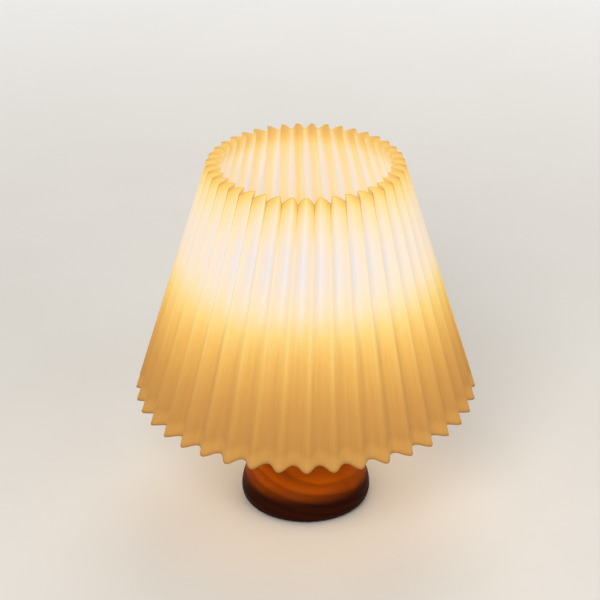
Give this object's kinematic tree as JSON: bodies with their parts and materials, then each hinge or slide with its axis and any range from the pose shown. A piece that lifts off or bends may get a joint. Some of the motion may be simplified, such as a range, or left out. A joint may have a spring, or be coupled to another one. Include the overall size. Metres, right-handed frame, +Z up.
{
  "type": "pleated paper table lamp",
  "caption": "Table lamp with a tall cone of accordion-pleated paper on a squat turned wooden base, with a screw lampholder and a lift-off shade.",
  "frame": {"origin": "centre of the foot, on the table", "axes": "+Z up along the stem, -Y the front that the picture shows, +Y the back where the cord comes in"},
  "size_m": [0.3, 0.3, 0.3267],
  "materials": {
    "pleated_paper": "matt, lets a warm light through",
    "turned_wood": "satin lacquer over a reddish brown grain",
    "felt": "soft dark felt",
    "satin_brass": "satin turned brass",
    "contact_brass": "plain stamped brass",
    "zinc_steel": "bright zinc plate",
    "black_plastic": "moulded, slightly glossy",
    "white_ceramic": "unglazed white",
    "white_painted_steel": "white powder coat",
    "solder": "dull solder",
    "black_glass": "shiny black insulator",
    "nickel_cap": "rolled metal cap",
    "white_plastic": "smooth white plastic",
    "opal_dome": "opal, lit from inside",
    "board_aluminium": "white-faced aluminium",
    "chip_phosphor": "yellow phosphor"
  },
  "bodies": {
    "base": {"base_body": "turned_wood", "foot_pad": "felt", "cord_bush": "black_plastic", "threaded_tube": "zinc_steel", "flat_washer": "zinc_steel", "lock_washer": "zinc_steel", "base_nut": "zinc_steel", "stem_collar": "satin_brass", "stem_tube": "satin_brass", "stem_cap": "satin_brass", "holder_cap": "black_plastic", "grub_screw": "zinc_steel", "contact_block": "white_ceramic", "terminal_screws": "contact_brass", "centre_contact": "contact_brass", "holder_sleeve": "black_plastic", "screw_shell": "contact_brass", "lower_lock_ring": "black_plastic"},
    "lock_ring": {"upper_lock_ring": "black_plastic"},
    "carrier": {"carrier_hub": "white_painted_steel", "carrier_frame": "white_painted_steel"},
    "shade": {"shade_paper": "pleated_paper"},
    "bulb": {"bulb_contact": "solder", "bulb_insulator": "black_glass", "bulb_cap": "nickel_cap", "bulb_housing": "white_plastic", "bulb_dome": "opal_dome", "led_board": "board_aluminium", "led_chips": "chip_phosphor"}
  },
  "joints": [
    {"name": "lock_ring_turn", "type": "hinge", "parent": "base", "child": "lock_ring", "pos_m": [0, 0, 0.1716], "axis": [0, 0, 1], "continuous": true},
    {"name": "carrier_turn", "type": "hinge", "parent": "base", "child": "carrier", "pos_m": [0, 0, 0.167], "axis": [0, 0, 1], "continuous": true},
    {"name": "shade_lift", "type": "slide", "parent": "carrier", "child": "shade", "axis": [0, 0, 1], "range_m": [0, 0.16]},
    {"name": "bulb_lift", "type": "slide", "parent": "base", "child": "bulb", "axis": [0, 0, 1], "range_m": [0, 0.175]}
  ]
}
